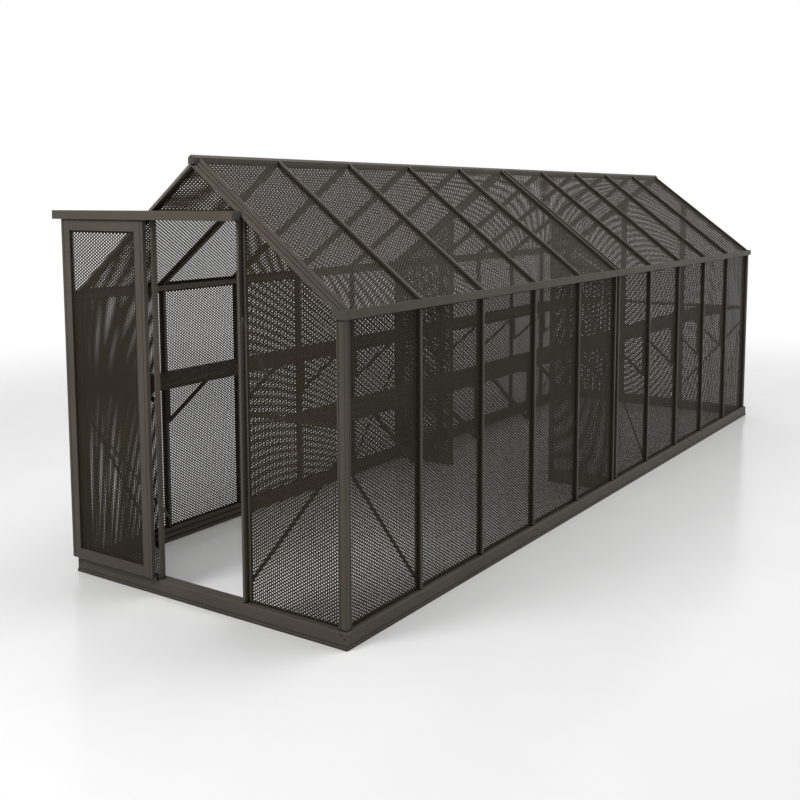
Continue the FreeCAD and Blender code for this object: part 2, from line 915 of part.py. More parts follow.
def door_stile(outer, inward):
    """Side member of the door with a groove down its face; inward is 1 on the left, -1 on the right."""
    inner = outer + inward * stile_width
    near = outer + inward * stile_groove_inset
    far = near + inward * stile_groove_width
    stile = block(min(outer, inner), max(outer, inner), door_front_y, door_back_y, door_bottom, door_top)
    floor = door_front_y + stile_groove_depth
    line = block(min(near, far), max(near, far), door_front_y, floor, door_bottom, door_top)
    across = (min(outer, inner) + tube_wall, max(outer, inner) - tube_wall)
    along = (floor + tube_wall, door_back_y - tube_wall)
    sole = door_bottom + guide_groove_depth + tube_wall
    return cut(stile, line, guide_groove(), block(*across, *along, sole, door_top))


def hanger_slot(x):
    """Slot in the top rail for the tab of a hanger."""
    half = hanger_width / 2 + hanger_clearance
    side = hanger_thickness / 2 + hanger_clearance
    return block(x - half, x + half, track_y - side, track_y + side, door_top - hanger_tab, door_top)


def hanger(x):
    """Plate from the top rail up through the slot of the track, with its axle bore."""
    half = hanger_width / 2
    top = axle_z + hanger_rise
    outline = [
        (x - half, door_top - hanger_tab),
        (x + half, door_top - hanger_tab),
        (x + half, top - hanger_chamfer),
        (x + half - hanger_chamfer, top),
        (x - half + hanger_chamfer, top),
        (x - half, top - hanger_chamfer),
    ]
    side = hanger_thickness / 2
    plate = prism_y(outline, track_y - side, track_y + side)
    return cut(plate, rod(axle_radius + axle_fit, x, track_y - side, track_y + side, axle_z))


def roller_axle(x):
    """Pin through a hanger, with a head outside each roller."""
    head = roller_inner + roller_width + running_gap
    shaft = rod(axle_radius, x, track_y - head, track_y + head, axle_z)
    front = rod(axle_head_radius, x, track_y - head - axle_head, track_y - head, axle_z)
    back = rod(axle_head_radius, x, track_y + head, track_y + head + axle_head, axle_z)
    return join(shaft, front, back)


def roller(x):
    """Rear roller of a hanger: a tread on the lip of the track and a hub beside the plate."""
    hub_start = track_y + hanger_thickness / 2 + running_gap
    start = track_y + roller_inner
    end = start + roller_width
    hub = rod(roller_hub_radius, x, hub_start, start, axle_z)
    tread = rod(roller_radius, x, start, end, axle_z)
    return cut(join(hub, tread), rod(axle_radius + roller_fit, x, hub_start, end, axle_z))


def build_door():
    save("door_stiles", door_stile(door_left, 1), door_stile(door_right, -1))
    inner_left = door_left + stile_width
    inner_right = door_right - stile_width
    faces = (door_front_y, door_back_y)
    top_rail_bottom = door_top - top_rail_height
    bottom_rail_top = door_bottom + bottom_rail_height
    top_rail = block(inner_left, inner_right, *faces, top_rail_bottom, door_top)
    save("door_top_rail", cut(top_rail, *[hanger_slot(x) for x in hanger_places]))
    bottom_rail = block(inner_left, inner_right, *faces, door_bottom, bottom_rail_top)
    save("door_bottom_rail", cut(bottom_rail, guide_groove()))
    sheet_outline = [
        (inner_left, bottom_rail_top),
        (inner_right, bottom_rail_top),
        (inner_right, top_rail_bottom),
        (inner_left, top_rail_bottom),
    ]
    holes = openings(inner_left, inner_right, bottom_rail_top, top_rail_bottom)
    save("door_sheet", pierced_y(sheet_outline, holes, track_y - sheet_thickness / 2))
    save("door_hangers", *[hanger(x) for x in hanger_places])
    save("roller_axles", *[roller_axle(x) for x in hanger_places])
    middle = Vector(0, track_y, 0)
    for side, x in zip(("left", "right"), hanger_places):
        back = roller(x)
        save(f"rollers_{side}", back, back.mirror(middle, Vector(0, 1, 0)))


def build_guide():
    """Angle at the foot of the left jamb, with a fin that runs in the groove of the door."""
    left = -jamb_offset - guide_width / 2
    right = -jamb_offset + guide_width / 2
    floor = base_height + guide_plate
    half = guide_fin / 2
    flange_top = base_height + guide_flange_height
    plate = block(left, right, track_y - half, -frame_y, base_height, floor)
    flange = block(left, right, -frame_y - guide_plate, -frame_y, floor, flange_top)
    fin = block(left, right, track_y - half, track_y + half, floor, door_bottom + guide_fin_reach)
    save("door_guide", join(plate, flange, fin))


os.makedirs("parts", exist_ok=True)
build_base()
build_wall_bars()
build_gutters()
build_roof()
build_gables()
build_sheets()
build_wall_braces()
build_shelves()
build_partition()
build_track()
build_door()
build_guide()
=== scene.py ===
import bmesh
import bpy
import json
import math
import numpy as np
from mathutils import Matrix, Vector


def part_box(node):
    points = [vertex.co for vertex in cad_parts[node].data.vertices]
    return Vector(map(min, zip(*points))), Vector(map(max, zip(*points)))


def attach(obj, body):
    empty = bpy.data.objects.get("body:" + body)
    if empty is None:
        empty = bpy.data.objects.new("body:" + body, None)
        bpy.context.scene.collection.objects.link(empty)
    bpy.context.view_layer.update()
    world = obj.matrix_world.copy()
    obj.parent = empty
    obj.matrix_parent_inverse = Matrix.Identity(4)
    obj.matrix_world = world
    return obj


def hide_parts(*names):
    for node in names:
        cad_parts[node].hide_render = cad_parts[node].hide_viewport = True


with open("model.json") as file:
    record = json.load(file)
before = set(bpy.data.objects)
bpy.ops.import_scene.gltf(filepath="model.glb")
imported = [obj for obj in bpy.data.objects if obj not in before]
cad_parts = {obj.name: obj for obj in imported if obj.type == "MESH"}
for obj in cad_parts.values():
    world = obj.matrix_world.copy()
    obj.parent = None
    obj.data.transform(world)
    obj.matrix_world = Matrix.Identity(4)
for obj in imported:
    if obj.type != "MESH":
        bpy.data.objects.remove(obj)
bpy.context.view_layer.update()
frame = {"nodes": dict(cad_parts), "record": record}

# Shade house seen from its front right corner: a bronze bar frame clad in perforated sheet.
# Metres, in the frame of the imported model.

# Perforation: hexagonal holes in staggered rows, centred on each sheet
HOLE_PITCH = 0.0264
ROW_PITCH = 0.0165
HOLE_RADIUS = 0.0044
HOLE_CORNERS = 6
SPARE_HOLES = 4
SHEET_MARGIN = 0.004

# Shift of the holes, which on the door sets its moiré with the sheet behind it
NO_SHIFT = (0.0, 0.0)
DOOR_HOLE_SHIFT = (-0.0024, 0.0048)

# Folded front edge of the shelves
SHELF_BEND_RADIUS = 0.006
SHELF_BEND_STEPS = 5

# Inner face of the base rails, with its two grooves, under the edge of their top flange
BASE_DEPTH = 0.066
BASE_FACE_TOP = 0.080
BASE_FACE_FOOT = 0.010
BASE_FACE_BACK = 0.008
GROOVE_DEPTH = 0.005
GROOVE_HEIGHT = 0.007
GROOVE_PLACES = (0.063, 0.029)

# Section of the door jambs: a narrow face, and behind it a flange along the edge of the sheet
JAMB_FACE = 0.016
JAMB_DEPTH = 0.025
JAMB_FLANGE = 0.003
JAMB_FIN = 0.012

# Rounded edges of the bars
EDGE_RADIUS = 0.0009
EDGE_STEPS = 2
EDGE_ANGLE = math.radians(35)

# What counts as one point, as one plane, as level and as a sloped top in the CAD meshes
WELD_DISTANCE = 0.00001
FLAT_COSINE = 0.999
LEVEL_SINE = 0.01
SLOPE_RISE = 0.1

# Digits to which areas, normals and outlines are compared
AREA_DIGITS = 5
NORMAL_DIGITS = 2
OUTLINE_DIGITS = 5

# Nodes that keep their own edges: bores, turned surfaces and lips at the ends of the CAD box
PLAIN_NODES = {
    "base_corner_plates",
    "base_rear_rail",
    "base_screws",
    "door_hangers",
    "gutter_end_caps",
    "gutter_left",
    "gutter_right",
    "gutter_spouts",
    "roller_axles",
    "rollers_left",
    "rollers_right",
}

# Sheet nodes: the name of one sheet and the body it rides on
SHEET_NODES = {
    "wall_sheets_right": ("wall_sheet_right", "frame"),
    "wall_sheets_left": ("wall_sheet_left", "frame"),
    "roof_sheets_right": ("roof_sheet_right", "frame"),
    "roof_sheets_left": ("roof_sheet_left", "frame"),
    "front_gable_sheets": ("front_gable_sheet", "frame"),
    "rear_gable_sheets": ("rear_gable_sheet", "frame"),
    "partition_sheets": ("partition_sheet", "frame"),
    "door_sheet": ("door_panel", "door"),
}
SHELF_NODES = {"shelves_right": "shelf_right", "shelves_left": "shelf_left"}
JAMB_NODES = {"door_jamb_right": "jamb_right", "door_jamb_left": "jamb_left"}

# Camera, solved from the straight edges of the photograph
IMAGE_SIZE = 800
CAMERA_PLACE = (3.694, -6.762, 2.050)
CAMERA_YAW = math.radians(34.18)
CAMERA_PITCH = math.radians(-6.154)
CAMERA_ROLL = math.radians(-0.17)
FOCAL_PIXELS = 1044.66
PRINCIPAL_POINT = (399.75, 310.77)
SENSOR_WIDTH = 36.0
VIEW_END = 200.0

# Painted shade in the joints between bars and sheets: the colour darkens where they meet
JOINT_SHADE_REACH = 0.011
JOINT_SHADE_POWER = 2.6
JOINT_SHADE_SAMPLES = 6

# Light: two soft lamps outside, and two weak ones inside that fill the shade behind the sheets
WHITE = (1, 1, 1, 1)
AMBIENT = 0.66
BACKDROP = 1.0
KEY_PLACE = (-0.8, -6.2, 4.4)
KEY_SIZE = 2.0
KEY_WATTS = 150.0
TOP_PLACE = (2.6, 1.2, 8.5)
TOP_SIZE = 7.0
TOP_WATTS = 400.0
LIGHT_AIM = (0.0, -0.5, 0.9)
INSIDE_PLACE = (0.0, -2.2, 1.9)
INSIDE_AIM = (0.0, -2.2, 0.0)
INSIDE_SIZE = (0.4, 1.4)
INSIDE_WATTS = 4.5
SIDE_PLACE = (0.45, -2.3, 1.2)
SIDE_AIM = (-0.9, -2.3, 0.5)
SIDE_SIZE = (1.6, 0.8)
SIDE_WATTS = 5.0

# Floor, which fades to white with the distance from the house
FLOOR_RADIUS = 60.0
FLOOR_STEPS = 96
FADE_START = 4.0
FADE_END = 9.5


# Node helpers for the materials

# Part of a noise's range over which colours and values run from one end to the other
NOISE_LOW = 0.3
NOISE_HIGH = 0.7


class Surface:
    """A procedural material with one Principled shader."""

    def __init__(self, name):
        self.material = bpy.data.materials.new(name)
        self.material.use_nodes = True
        self.nodes = self.material.node_tree.nodes
        self.links = self.material.node_tree.links
        self.shader = self.nodes["Principled BSDF"]
        self.place = self.nodes.new("ShaderNodeTexCoord").outputs["Object"]

    def link(self, output, target):
        self.links.new(output, target)

    def noise(self, scale, detail=3.0, stretch=None):
        """Noise of so many cycles a metre, longer along an axis where stretch is below 1."""
        node = self.nodes.new("ShaderNodeTexNoise")
        node.inputs["Scale"].default_value = scale
        node.inputs["Detail"].default_value = detail
        place = self.place
        if stretch:
            mapping = self.nodes.new("ShaderNodeMapping")
            mapping.inputs["Scale"].default_value = stretch
            self.link(place, mapping.inputs["Vector"])
            place = mapping.outputs["Vector"]
        self.link(place, node.inputs["Vector"])
        return node.outputs["Fac"]

    def colours(self, factor, dark, light):
        """A colour that runs from dark to light over the middle of a noise."""
        node = self.nodes.new("ShaderNodeValToRGB")
        first, last = node.color_ramp.elements
        first.position, first.color = NOISE_LOW, (*dark, 1)
        last.position, last.color = NOISE_HIGH, (*light, 1)
        self.link(factor, node.inputs["Fac"])
        return node.outputs["Color"]

    def spread(self, factor, low, high):
        """A value that runs from low to high over the middle of a noise."""
        node = self.nodes.new("ShaderNodeMapRange")
        node.inputs["From Min"].default_value = NOISE_LOW
        node.inputs["From Max"].default_value = NOISE_HIGH
        node.inputs["To Min"].default_value = low
        node.inputs["To Max"].default_value = high
        self.link(factor, node.inputs["Value"])
        return node.outputs["Result"]

    def product(self, first, second):
        """Two colours multiplied."""
        node = self.nodes.new("ShaderNodeMix")
        node.data_type = "RGBA"
        node.blend_type = "MULTIPLY"
        node.inputs["Factor"].default_value = 1.0
        self.link(first, node.inputs["A"])
        self.link(second, node.inputs["B"])
        return node.outputs["Result"]

    def bump(self, height, distance, strength):
        node = self.nodes.new("ShaderNodeBump")
        node.inputs["Distance"].default_value = distance
        node.inputs["Strength"].default_value = strength
        self.link(height, node.inputs["Height"])
        self.link(node.outputs["Normal"], self.shader.inputs["Normal"])

    def painted_joint_shade(self, colour):
        """A colour with painted shade, darker in narrow corners and where parts meet, by ambient
        occlusion.
        """
        corner = self.nodes.new("ShaderNodeAmbientOcclusion")
        corner.samples = JOINT_SHADE_SAMPLES
        corner.inputs["Distance"].default_value = JOINT_SHADE_REACH
        depth = self.nodes.new("ShaderNodeMath")
        depth.operation = "POWER"
        depth.inputs[1].default_value = JOINT_SHADE_POWER
        self.link(corner.outputs["AO"], depth.inputs[0])
        grey = self.nodes.new("ShaderNodeCombineColor")
        for name in ("Red", "Green", "Blue"):
            self.link(depth.outputs["Value"], grey.inputs[name])
        return self.product(colour, grey.outputs["Color"])

    def set(self, **values):
        """Constants on the shader's own sockets."""
        for name, value in values.items():
            self.shader.inputs[name.replace("_", " ")].default_value = value


def shaded(colour, factor):
    """A colour made darker or lighter."""
    return tuple(factor * value for value in colour)


# Materials, one for each slot of the record

def powder_coat(name, colour, roughness, speckle, gloss, joints=False):
    """Baked powder coat: slow drift of tone, fine metallic speckle and orange peel, and painted
    shade in the corners where asked.
    """
    coat = Surface(name)
    coat.set(Specular_IOR_Level=gloss)
    clouds = coat.noise(scale=2.3)
    drift = coat.colours(clouds, dark=shaded(colour, 0.88), light=shaded(colour, 1.12))
    flakes = coat.noise(scale=900, detail=1.0)
    flake_tone = coat.colours(flakes, dark=(1 - speckle,) * 3, light=(1 + speckle,) * 3)
    tone = coat.product(drift, flake_tone)
    # Painted shade: the colour darkens in corners and where parts meet
    if joints:
        tone = coat.painted_joint_shade(tone)
    coat.link(tone, coat.shader.inputs["Base Color"])
    patches = coat.noise(scale=14, detail=4.0)
    finish = coat.spread(patches, low=roughness - 0.05, high=roughness + 0.06)
    coat.link(finish, coat.shader.inputs["Roughness"])
    coat.bump(coat.noise(scale=650, detail=2.0), distance=0.0002, strength=0.3)
    return coat.material


def worn_metal(name, wear_scale, stretch, dark, light, smooth, rough, metallic, grain_scale):
    """Bare or blackened metal, whose tone and roughness follow the same wear."""
    metal = Surface(name)
    wear = metal.noise(wear_scale, stretch=stretch)
    metal.link(metal.colours(wear, dark, light), metal.shader.inputs["Base Color"])
    metal.link(metal.spread(wear, smooth, rough), metal.shader.inputs["Roughness"])
    metal.bump(metal.noise(grain_scale, detail=2.0), distance=0.0001, strength=0.2)
    metal.set(Metallic=metallic)
    return metal.material


def moulded(name, colour, roughness, grain_scale):
    """Moulded plastic or rubber with a fine grain."""
    plastic = Surface(name)
    clouds = plastic.noise(scale=9)
    tone = plastic.colours(clouds, dark=shaded(colour, 0.9), light=shaded(colour, 1.1))
    plastic.link(tone, plastic.shader.inputs["Base Color"])
    patches = plastic.noise(scale=25)
    finish = plastic.spread(patches, low=roughness - 0.06, high=roughness + 0.06)
    plastic.link(finish, plastic.shader.inputs["Roughness"])
    plastic.bump(plastic.noise(grain_scale, detail=2.0), distance=0.0002, strength=0.35)
    return plastic.material


def bronze_coat():
    return powder_coat(
        "bronze_coat",
        colour=(0.066, 0.056, 0.0455),
        roughness=0.50,
        speckle=0.10,
        gloss=0.12,
        # Painted shade in the corners where the bars meet the sheets
        joints=True,
    )


def perforated_sheet():
    return powder_coat(
        "perforated_sheet",
        colour=(0.0250, 0.0193, 0.0128),
        roughness=0.55,
        speckle=0.12,
        gloss=0.08,
    )


def plated_steel():
    return worn_metal(
        "plated_steel",
        wear_scale=60,
        stretch=(0.1, 1.0, 1.0),
        dark=(0.40, 0.39, 0.37),
        light=(0.52, 0.51, 0.48),
        smooth=0.28,
        rough=0.42,
        metallic=1.0,
        grain_scale=900,
    )


def dark_screw():
    return worn_metal(
        "dark_screw",
        wear_scale=420,
        stretch=None,
        dark=(0.022, 0.020, 0.018),
        light=(0.05, 0.046, 0.042),
        smooth=0.32,
        rough=0.5,
        metallic=0.7,
        grain_scale=1500,
    )


def nylon():
    return moulded("nylon", colour=(0.60, 0.58, 0.54), roughness=0.45, grain_scale=500)


def rubber():
    return moulded("rubber", colour=(0.018, 0.018, 0.018), roughness=0.75, grain_scale=700)


def dark_plastic():
    colour = (0.029, 0.0245, 0.0195)
    return moulded("dark_plastic", colour, roughness=0.46, grain_scale=800)


MATERIALS = {
    "bronze_coat": bronze_coat(),
    "perforated_sheet": perforated_sheet(),
    "plated_steel": plated_steel(),
    "dark_screw": dark_screw(),
    "nylon": nylon(),
    "rubber": rubber(),
    "dark_plastic": dark_plastic(),
}


# New objects

def add_object(name, data):
    """A new object, linked to the scene."""
    made = bpy.data.objects.new(name, data)
    bpy.context.scene.collection.objects.link(made)
    return made


def finish_piece(piece, body, slot, *nodes):
    """Material, body and material slot of a piece, and the CAD nodes that it stands for."""
    if not piece.data.materials:
        piece.data.materials.append(MATERIALS[slot])
    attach(piece, body)
    if nodes:
        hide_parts(*nodes)


# Perforated sheets

def solids_of(node):
    """The faces of each separate solid of a CAD node, from a welded copy of its mesh."""
    copy = bmesh.new()
    copy.from_mesh(frame["nodes"][node].data)
    bmesh.ops.remove_doubles(copy, verts=copy.verts, dist=WELD_DISTANCE)
    waiting = dict.fromkeys(copy.faces)
    solids = []
    while waiting:
        group = []
        front = [waiting.popitem()[0]]
        while front:
            face = front.pop()
            group.append(face)
            for edge in face.edges:
                for other in edge.link_faces:
                    if other in waiting:
                        del waiting[other]
                        front.append(other)
        solids.append(group)
    return copy, solids


def corners_of(points):
    """A closed outline without the points that lie on its straight runs."""
    kept = []
    for i, point in enumerate(points):
        before = (point - points[i - 1]).normalized()
        after = (points[(i + 1) % len(points)] - point).normalized()
        if before.dot(after) < FLAT_COSINE:
            kept.append(point)
    return kept


def face_rank(face):
    """Sorts faces by area, and equal ones by the direction they look in."""
    direction = (round(value, NORMAL_DIGITS) for value in face.normal)
    return round(face.calc_area(), AREA_DIGITS), *direction


def main_face(faces):
    """Normal and ordered corners of the largest flat side of a solid."""
    normal = max(faces, key=face_rank).normal.copy()
    side = dict.fromkeys(face for face in faces if face.normal.dot(normal) > FLAT_COSINE)
    following = {}
    for face in side:
        for loop in face.loops:
            if not any(other in side for other in loop.edge.link_faces if other is not face):
                following[loop.vert] = loop.link_loop_next.vert
    start = min(following, key=lambda vert: tuple(vert.co))
    ring = [start]
    while following[ring[-1]] is not start:
        ring.append(following[ring[-1]])
    return normal, corners_of([vert.co.copy() for vert in ring])


def cross(first, second):
    """Cross product of two flat vectors."""
    return first[0] * second[1] - first[1] * second[0]


def convex_parts(outline):
    """A counter-clockwise outline split along the upright line through its inward corner."""
    count = len(outline)
    for i, corner in enumerate(outline):
        into = corner - outline[i - 1]
        away = outline[(i + 1) % count] - corner
        if cross(into, away) < 0:
            halves = (cut(outline, (-1, 0), -corner[0]), cut(outline, (1, 0), corner[0]))
            return [true_corners(half) for half in halves]
    return [outline]


def true_corners(polygon):
    """A polygon without repeated corners, and without corners on its straight runs and spikes."""
    steps = [point - polygon[i - 1] for i, point in enumerate(polygon)]
    apart = [point for point, step in zip(polygon, steps) if np.hypot(*step) > WELD_DISTANCE]
    kept = []
    for i, corner in enumerate(apart):
        into = corner - apart[i - 1]
        away = apart[(i + 1) % len(apart)] - corner
        if abs(cross(into, away)) > WELD_DISTANCE ** 2:
            kept.append(corner)
    return kept


def cut(polygon, direction, least):
    """The part of a polygon where its distance along a direction is at least so much."""
    kept = []
    reach = [point @ np.array(direction, float) - least for point in polygon]
    for i, point in enumerate(polygon):
        previous, before = polygon[i - 1], reach[i - 1]
        if (before < 0) != (reach[i] < 0):
            kept.append(previous + (point - previous) * before / (before - reach[i]))
        if reach[i] >= 0:
            kept.append(point)
    return kept


def sides_of(outline):
    """Inward directions and offsets of the sides of a counter-clockwise convex outline."""
    sides = []
    for i, point in enumerate(outline):
        along = outline[(i + 1) % len(outline)] - point
        inward = np.array((-along[1], along[0])) / np.hypot(*along)
        sides.append((inward, inward @ point))
    return sides


def distance_to(outline, points):
    """Distance from each point to the nearest side of an outline."""
    nearest = np.full(len(points), np.inf)
    for i, start in enumerate(outline):
        along = outline[(i + 1) % len(outline)] - start
        share = np.clip((points - start) @ along / (along @ along), 0, 1)
        gap = points - start - share[:, None] * along
        nearest = np.minimum(nearest, np.hypot(gap[:, 0], gap[:, 1]))
    return nearest


def within(parts, points):
    """Whether each point is inside one of the convex parts of an outline."""
    inside = np.zeros(len(points), bool)
    for part in parts:
        here = np.ones(len(points), bool)
        for inward, least in sides_of(part):
            here &= points @ inward >= least
        inside |= here
    return inside


# Corners of a hole and of each of its three next ones that the bridge between them joins
BRIDGES = ((0, 4, 3, 1), (1, 5, 4, 2), (2, 0, 5, 3))

# Two next holes that make a triangle with a hole, and the corner that each of the three gives
TRIANGLES = ((0, 1, (1, 3, 5)), (1, 2, (2, 4, 0)))


def corner_numbers(holes, corners):
    """Faces as rows of point numbers: a corner of each hole in turn."""
    pairs = zip(holes, corners)
    return np.stack([HOLE_CORNERS * hole + corner for hole, corner in pairs], axis=1)


def lattice(outline, shift):
    """Corners and faces of a perforated sheet inside an outline, with a solid margin."""
    parts = convex_parts(outline)
    low = np.min(outline, axis=0)
    high = np.max(outline, axis=0)
    columns = int((high[0] - low[0]) / HOLE_PITCH) + SPARE_HOLES
    rows = int((high[1] - low[1]) / ROW_PITCH) + SPARE_HOLES
    all_columns = np.arange(-columns, columns + 1)
    all_rows = np.arange(-rows, rows + 1)
    across, up = np.meshgrid(all_columns, all_rows, indexing="ij")
    even = (across + up) % 2 == 0
    number = np.full(across.shape, -1)
    number[even] = np.arange(even.sum())
    step = np.array((HOLE_PITCH, ROW_PITCH)) / 2
    grid = np.stack((across[even], up[even]), axis=1) * step
    centres = grid + (low + high) / 2 + np.array(shift)

    turn = 2 * np.pi / HOLE_CORNERS * np.arange(HOLE_CORNERS)
    ring = HOLE_RADIUS * np.stack((np.cos(turn), np.sin(turn)), axis=1)
    points = (centres[:, None] + ring).reshape(-1, 2)

    def neighbours(i, j):
        """Number of the hole so many half steps away, or -1 past the end of the grid."""
        moved = np.full(number.shape, -1)
        target = moved[max(-i, 0):len(moved) - max(i, 0), :moved.shape[1] - j]
        target[:] = number[max(i, 0):len(moved) + min(i, 0), j:]
        return moved[even]

    here = np.arange(len(centres))
    beside = [neighbours(1, 1), neighbours(0, 2), neighbours(-1, 1)]
    faces = []
    for other, corners in zip(beside, BRIDGES):
        pair = other >= 0
        sites = (here[pair], other[pair], other[pair], here[pair])
        faces.append(corner_numbers(sites, corners))
    for first, second, corners in TRIANGLES:
        trio = (beside[first] >= 0) & (beside[second] >= 0)
        sites = (here[trio], beside[first][trio], beside[second][trio])
        faces.append(corner_numbers(sites, corners))

    # Holes that are outside the outline or break its margin are closed by a face
    clear = distance_to(outline, centres) >= SHEET_MARGIN + HOLE_RADIUS
    closed = here[~(within(parts, centres) & clear)]
    faces.append(corner_numbers((closed,) * HOLE_CORNERS, range(HOLE_CORNERS)))

    # Faces wholly inside the outline stay whole, and those across it are cut
    extra = []
    kept = []
    for part in parts:
        sides = sides_of(part)
        reach = np.stack([points @ inward - least for inward, least in sides], axis=1)
        for group in faces:
            group_reach = reach[group]
            inside = (group_reach >= 0).all(axis=(1, 2))
            outside = (group_reach < 0).all(axis=1).any(axis=1)
            kept += group[inside].tolist()
            for face in group[~inside & ~outside]:
                polygon = list(points[face])
                for inward, least in sides:
                    polygon = cut(polygon, inward, least)
                    if len(polygon) < 3:
                        break
                else:
                    start = len(points) + len(extra)
                    kept.append(list(range(start, start + len(polygon))))
                    extra += polygon
    return np.concatenate((points, np.array(extra).reshape(-1, 2))), kept


def sheet_mesh(name, outline, shift):
    """Welded mesh of a perforated sheet, in its own plane."""
    points, faces = lattice(outline, shift)
    numbers = np.concatenate([np.array(face) for face in faces])
    used, again = np.unique(numbers, return_inverse=True)
    ends = np.cumsum([len(face) for face in faces])[:-1]
    faces = [part.tolist() for part in np.split(again, ends)]
    corners = [(u, v, 0.0) for u, v in points[used]]
    mesh = bpy.data.meshes.new(name)
    mesh.from_pydata(corners, [], faces)
    welded = bmesh.new()
    welded.from_mesh(mesh)
    bmesh.ops.remove_doubles(welded, verts=welded.verts, dist=WELD_DISTANCE)
    welded.to_mesh(mesh)
    welded.free()
    return mesh


SHEET_MESHES = {}


def plane_of(normal):
    """Level direction and rising direction in the plane of a sheet."""
    level = Vector((0, 0, 1)).cross(normal)
    level = level.normalized() if level.length > LEVEL_SINE else Vector((0, 1, 0))
    return level, normal.cross(level)


def add_sheet(name, normal, corners, depth, shift=NO_SHIFT):
    """Perforated sheet at a depth behind a flat outline. Equal sheets share a mesh."""
    level, rise = plane_of(normal)
    flat = np.array([(corner.dot(level), corner.dot(rise)) for corner in corners])
    middle = (flat.min(axis=0) + flat.max(axis=0)) / 2
    outline = np.round(flat - middle, OUTLINE_DIGITS)
    lowest = min(range(len(outline)), key=lambda i: tuple(outline[i]))
    outline = np.roll(outline, -lowest, axis=0)
    key = (*outline.flatten(), *shift)
    if key not in SHEET_MESHES:
        SHEET_MESHES[key] = sheet_mesh(name, list(outline), shift)
    sheet = add_object(name, SHEET_MESHES[key])
    place = level * middle[0] + rise * middle[1] + normal * (corners[0].dot(normal) - depth)
    sheet.matrix_world = Matrix((level, rise, normal)).transposed().to_4x4()
    sheet.matrix_world.translation = place
    return sheet


def depth_of(faces, normal):
    """Thickness of a solid along a direction."""
    reach = [vert.co.dot(normal) for face in faces for vert in face.verts]
    return max(reach) - min(reach)


def in_order(solids):
    """Solids sorted by their lowest face centre."""
    return sorted(solids, key=lambda faces: min(tuple(face.calc_center_median()) for face in faces))


def add_sheets():
    for node, (name, body) in SHEET_NODES.items():
        copy, solids = solids_of(node)
        shift = DOOR_HOLE_SHIFT if body == "door" else NO_SHIFT
        for i, faces in enumerate(in_order(solids)):
            normal, corners = main_face(faces)
            depth = depth_of(faces, normal) / 2
            piece = add_sheet(f"{name}_{i + 1:02d}", normal, corners, depth, shift)
            finish_piece(piece, body, "perforated_sheet", node)
        copy.free()


# Shelves

def lip_outline(front, inward, top, bottom, thickness):
    """Section of a shelf's folded edge as (x, z): a bend from the deck and a straight drop."""
    turns = [math.pi / 2 * i / SHELF_BEND_STEPS for i in range(SHELF_BEND_STEPS + 1)]
    centre_x = front + inward * SHELF_BEND_RADIUS
    centre_z = top - SHELF_BEND_RADIUS
    sides = []
    for radius in (SHELF_BEND_RADIUS, SHELF_BEND_RADIUS - thickness):
        side = [(front + inward * (SHELF_BEND_RADIUS - radius), bottom)]
        for turn in turns:
            back, up = radius * math.cos(turn), radius * math.sin(turn)
            side.append((centre_x - inward * back, centre_z + up))
        sides.append(side)
    outer, inner = sides
    return outer + inner[::-1]


def prism_mesh(name, first, last):
    """Closed mesh between two rings of corners."""
    count = len(first)
    faces = [tuple(range(count)), tuple(range(2 * count - 1, count - 1, -1))]
    for i in range(count):
        j = (i + 1) % count
        faces.append((i, i + count, j + count, j))
    mesh = bpy.data.meshes.new(name)
    mesh.from_pydata(first + last, [], faces)
    closed = bmesh.new()
    closed.from_mesh(mesh)
    bmesh.ops.recalc_face_normals(closed, faces=closed.faces)
    closed.to_mesh(mesh)
    closed.free()
    return mesh


def swept_mesh(name, outline, start, end):
    """Closed mesh of an (x, z) outline swept along Y."""
    first, last = ([(x, y, z) for x, z in outline] for y in (start, end))
    return prism_mesh(name, first, last)


def add_shelf(node, name, faces):
    """Deck of a shelf with its thickness, and the edge folded down along its front."""
    normal, corners = main_face(faces)
    points = [vert.co for face in faces for vert in face.verts]
    top = max(point.z for point in points)
    bottom = min(point.z for point in points)
    lip = [point for point in points if point.z < bottom + WELD_DISTANCE]
    thickness = max(point.x for point in lip) - min(point.x for point in lip)
    inward = math.copysign(1.0, lip[0].x)
    front = inward * min(abs(point.x) for point in points)
    bend = front + inward * SHELF_BEND_RADIUS
    deck_corners = [corner.copy() for corner in corners]
    for corner in deck_corners:
        corner.x = inward * max(abs(corner.x), abs(bend))
    deck = add_sheet(f"{name}_deck", normal, deck_corners, 0.0)
    body = deck.modifiers.new("thickness", "SOLIDIFY")
    body.thickness = thickness
    body.offset = -1.0
    finish_piece(deck, "frame", "perforated_sheet", node)
    along = [point.y for point in lip]
    outline = lip_outline(front, inward, top, bottom, thickness)
    mesh = swept_mesh(f"{name}_lip", outline, min(along), max(along))
    edge = add_object(f"{name}_lip", mesh)
    finish_piece(edge, "frame", "perforated_sheet", node)


def add_shelves():
    for node, name in SHELF_NODES.items():
        copy, solids = solids_of(node)
        for i, faces in enumerate(in_order(solids)):
            add_shelf(node, f"{name}_{i + 1:02d}", faces)
        copy.free()


# Frame bars

def round_edges(piece):
    """Welded mesh with slightly rounded edges."""
    weld = piece.modifiers.new("weld", "WELD")
    weld.merge_threshold = WELD_DISTANCE
    bevel = piece.modifiers.new("edges", "BEVEL")
    bevel.width = EDGE_RADIUS
    bevel.segments = EDGE_STEPS
    bevel.limit_method = "ANGLE"
    bevel.angle_limit = EDGE_ANGLE


def base_face_outline(edge, side):
    """Section of a rail's grooved inner face as (x, z), from the inner edge outwards."""
    front = [(0.0, BASE_FACE_TOP)]
    for place in GROOVE_PLACES:
        top, foot = place + GROOVE_HEIGHT / 2, place - GROOVE_HEIGHT / 2
        front += [(0.0, top), (GROOVE_DEPTH, top), (GROOVE_DEPTH, foot), (0.0, foot)]
    front.append((0.0, BASE_FACE_FOOT))
    back = [(BASE_FACE_BACK, BASE_FACE_FOOT), (BASE_FACE_BACK, BASE_FACE_TOP)]
    return [(side * (edge + depth), height) for depth, height in front + back]


